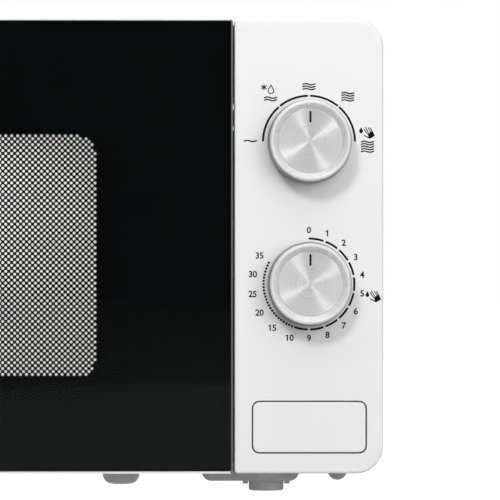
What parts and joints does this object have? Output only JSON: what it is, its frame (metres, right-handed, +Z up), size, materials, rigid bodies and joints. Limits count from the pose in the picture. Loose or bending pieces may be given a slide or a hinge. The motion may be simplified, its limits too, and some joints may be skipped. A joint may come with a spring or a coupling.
{
  "type": "microwave oven",
  "caption": "Free-standing solo microwave oven with side-hinged black glass door, two rotary dials, push-button door release, turntable and full inner works.",
  "frame": {"origin": "on the floor under the middle of the oven's bounding box", "axes": "+X to the control panel side (right as seen by the user), +Y to the back, +Z up; the door faces -Y"},
  "size_m": [0.44, 0.357, 0.2593],
  "materials": {
    "case_paint": "fine-textured white powder paint",
    "galvanised": "dull galvanised sheet",
    "base_grey": "dull grey",
    "foot_rubber": "matte grey",
    "screw_zinc": "zinc plated",
    "black_rubber": "matte",
    "cavity_paint": "smooth baked enamel",
    "waveguide_sheet": "pressed sheet",
    "mica": "pressed mica sheet, slightly glossy",
    "anode_copper": "copper anode",
    "fin_alu": "thin rolled fins",
    "core_steel": "varnished laminations",
    "winding": "varnished copper wire",
    "can_alu": "drawn can",
    "diode_black": "moulded",
    "board_green": "coated board",
    "white_plastic": "satin white moulding",
    "panel_white": "satin white moulding",
    "grey_plastic": "moulded",
    "lamp_glass": "clear bulb",
    "lamp_shell": "heat-proof moulding",
    "cutout_brass": "pressed cap",
    "motor_steel": "plated cup",
    "shaft_steel": "turned",
    "blade_plastic": "moulded",
    "coupler_plastic": "heat-proof moulding",
    "tray_glass": "clear pressed glass",
    "ring_plastic": "heat-proof moulding",
    "bracket_steel": "galvanised sheet",
    "timer_case": "moulded",
    "knob_white": "satin white moulding",
    "disc_alu": "spun, radial brushing",
    "spring_steel": "drawn wire",
    "lever_plastic": "moulded",
    "latch_black": "moulded",
    "switch_black": "moulded",
    "frame_white": "satin white moulding",
    "door_glass_black": "polished, black print behind the pane, clear window",
    "screen_black": "black enamel, punched holes",
    "film_clear": "clear plastic sheet",
    "choke_grey": "moulded",
    "hinge_steel": "zinc plated"
  },
  "bodies": {
    "chassis": {"outer_case": "case_paint", "rear_panel": "galvanised", "base_plate": "base_grey", "feet": "foot_rubber", "case_screws": "screw_zinc", "cord_inlet": "black_rubber", "cavity_front_plate": "cavity_paint", "cavity_shell": "cavity_paint", "cavity_floor": "cavity_paint", "cavity_rear_wall": "cavity_paint", "waveguide": "waveguide_sheet", "waveguide_cover": "mica", "magnetron_tube": "anode_copper", "magnetron_yoke": "waveguide_sheet", "magnetron_fins": "fin_alu", "magnetron_filter_box": "waveguide_sheet", "transformer_core": "core_steel", "transformer_windings": "winding", "hv_capacitor": "can_alu", "capacitor_clamp": "screw_zinc", "hv_diode": "diode_black", "filter_board": "board_green", "fan_motor": "motor_steel", "fan_duct": "white_plastic", "lamp_holder": "lamp_shell", "oven_lamp": "lamp_glass", "thermal_cutouts": "cutout_brass", "turntable_motor": "motor_steel", "control_panel": "panel_white", "control_bracket": "bracket_steel", "timer_unit": "timer_case", "power_selector": "timer_case", "button_spring": "spring_steel", "latch_housing": "latch_black", "interlock_switches": "switch_black", "door_hinges": "hinge_steel"},
    "fan": {"fan_shaft": "shaft_steel", "fan_blade": "blade_plastic"},
    "tray_drive": {"turntable_shaft": "coupler_plastic", "turntable_coupler": "coupler_plastic", "glass_tray": "tray_glass"},
    "ring": {"roller_ring": "ring_plastic"},
    "roller_a": {"wheel_a": "ring_plastic"},
    "roller_b": {"wheel_b": "ring_plastic"},
    "roller_c": {"wheel_c": "ring_plastic"},
    "power_dial": {"power_knob": "knob_white", "power_disc": "disc_alu", "power_shaft": "shaft_steel"},
    "timer_dial": {"timer_knob": "knob_white", "timer_disc": "disc_alu", "timer_shaft": "shaft_steel"},
    "button": {"door_button": "knob_white"},
    "lever": {"release_lever": "lever_plastic"},
    "door": {"door_frame": "frame_white", "door_glass": "door_glass_black", "door_screen": "screen_black", "door_film": "film_clear", "door_choke_cover": "choke_grey", "latch_spring": "spring_steel"},
    "hook": {"latch_hook": "latch_black"}
  },
  "joints": [
    {"name": "door_swing", "type": "hinge", "parent": "chassis", "child": "door", "pos_m": [-0.212, -0.14, 0.1345], "axis": [0, 0, -1], "range_deg": [0, 100]},
    {"name": "power_turn", "type": "hinge", "parent": "chassis", "child": "power_dial", "pos_m": [0.1797, -0.1585, 0.1924], "axis": [0, 1, 0], "range_deg": [-90, 90]},
    {"name": "timer_turn", "type": "hinge", "parent": "chassis", "child": "timer_dial", "pos_m": [0.1797, -0.1585, 0.1147], "axis": [0, 1, 0], "range_deg": [0, 300]},
    {"name": "button_press", "type": "slide", "parent": "chassis", "child": "button", "axis": [0, 1, 0], "range_m": [0, 0.005], "stiffness_N_per_m": 600, "springref_m": -0.004, "deforming": ["button_spring"]},
    {"name": "lever_turn", "type": "hinge", "parent": "chassis", "child": "lever", "pos_m": [0.1395, -0.116, 0.0668], "axis": [1, 0, 0], "range_deg": [0, 11]},
    {"name": "hook_lift", "type": "slide", "parent": "door", "child": "hook", "axis": [0, 0, 1], "range_m": [0, 0.0024], "deforming": ["latch_spring"]},
    {"name": "fan_spin", "type": "hinge", "parent": "chassis", "child": "fan", "pos_m": [0.162, 0.1537, 0.1908], "axis": [0, 1, 0], "continuous": true},
    {"name": "turntable_spin", "type": "hinge", "parent": "chassis", "child": "tray_drive", "pos_m": [-0.048, 0.0119, 0.0308], "axis": [0, 0, 1], "continuous": true},
    {"name": "ring_spin", "type": "hinge", "parent": "chassis", "child": "ring", "pos_m": [-0.048, 0.0119, 0.03795], "axis": [0, 0, 1], "continuous": true},
    {"name": "roller_a_spin", "type": "hinge", "parent": "ring", "child": "roller_a", "pos_m": [0.049, 0.0119, 0.03795], "axis": [1, 0, 0], "continuous": true},
    {"name": "roller_b_spin", "type": "hinge", "parent": "ring", "child": "roller_b", "pos_m": [-0.0965, 0.0959, 0.03795], "axis": [-0.5, 0.866, 0], "continuous": true},
    {"name": "roller_c_spin", "type": "hinge", "parent": "ring", "child": "roller_c", "pos_m": [-0.0965, -0.0721, 0.03795], "axis": [-0.5, -0.866, 0], "continuous": true}
  ],
  "couplings": [
    {"joint": "lever_turn", "follows": "button_press", "rad_per_m": 38.35},
    {"joint": "hook_lift", "follows": "button_press", "ratio": 0.48},
    {"joint": "ring_spin", "follows": "turntable_spin", "ratio": 0.5},
    {"joint": "roller_a_spin", "follows": "turntable_spin", "ratio": -7.0803},
    {"joint": "roller_b_spin", "follows": "turntable_spin", "ratio": -7.0803},
    {"joint": "roller_c_spin", "follows": "turntable_spin", "ratio": -7.0803}
  ]
}
